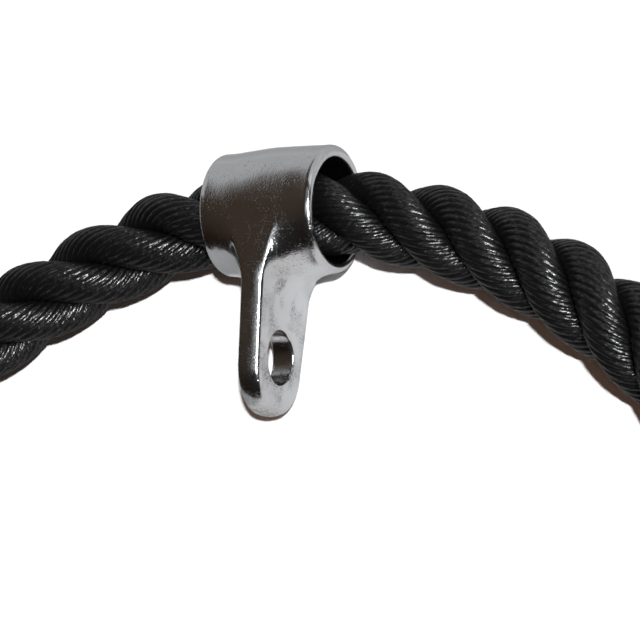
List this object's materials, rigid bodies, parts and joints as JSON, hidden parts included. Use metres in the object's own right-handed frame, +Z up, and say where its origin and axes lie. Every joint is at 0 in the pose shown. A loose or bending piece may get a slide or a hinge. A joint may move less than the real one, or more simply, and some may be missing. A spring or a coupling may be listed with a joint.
{
  "type": "triceps rope attachment",
  "caption": "Thick laid rope with a moulded stop on each end, run through a cast collar whose holed lug hooks onto a cable machine.",
  "frame": {"origin": "middle of the whole part's footprint on the surface that it lies on", "axes": "+X along the collar's bore, towards the right arm; +Y away from the lug, towards the crown of the rope's arch; +Z up, away from the surface that the part lies on"},
  "size_m": [0.559, 0.2435, 0.05],
  "materials": {
    "rope_fibre": "black laid fibre rope, slightly glossy yarns",
    "collar_chrome": "bright chrome plate over a casting, with small pits",
    "stop_rubber": "matt moulded rubber",
    "ferrule_steel": "crimped steel",
    "washer_zinc": "zinc plate",
    "screw_zinc": "zinc plate"
  },
  "bodies": {
    "rope": {"rope_middle": "rope_fibre"},
    "collar": {"collar": "collar_chrome"},
    "left_arm": {"left_rope_bend": "rope_fibre", "left_rope_arm": "rope_fibre", "left_end_ferrule": "ferrule_steel", "left_end_stop": "stop_rubber", "left_end_washer": "washer_zinc", "left_end_screw": "screw_zinc"},
    "right_arm": {"right_rope_bend": "rope_fibre", "right_rope_arm": "rope_fibre", "right_end_ferrule": "ferrule_steel", "right_end_stop": "stop_rubber", "right_end_washer": "washer_zinc", "right_end_screw": "screw_zinc"}
  },
  "joints": [
    {"name": "collar_swivel", "type": "hinge", "parent": "rope", "child": "collar", "pos_m": [0, 0.1005, 0.0206], "axis": [1, 0, 0], "continuous": true},
    {"name": "left_arm_flex", "type": "hinge", "parent": "rope", "child": "left_arm", "pos_m": [-0.04921, 0.09447, 0.01626], "axis": [0, 0, 1], "range_deg": [-40, 45], "deforming": ["left_rope_bend"]},
    {"name": "right_arm_flex", "type": "hinge", "parent": "rope", "child": "right_arm", "pos_m": [0.04922, 0.09547, 0.01626], "axis": [0, 0, -1], "range_deg": [-40, 45], "deforming": ["right_rope_bend"]}
  ]
}
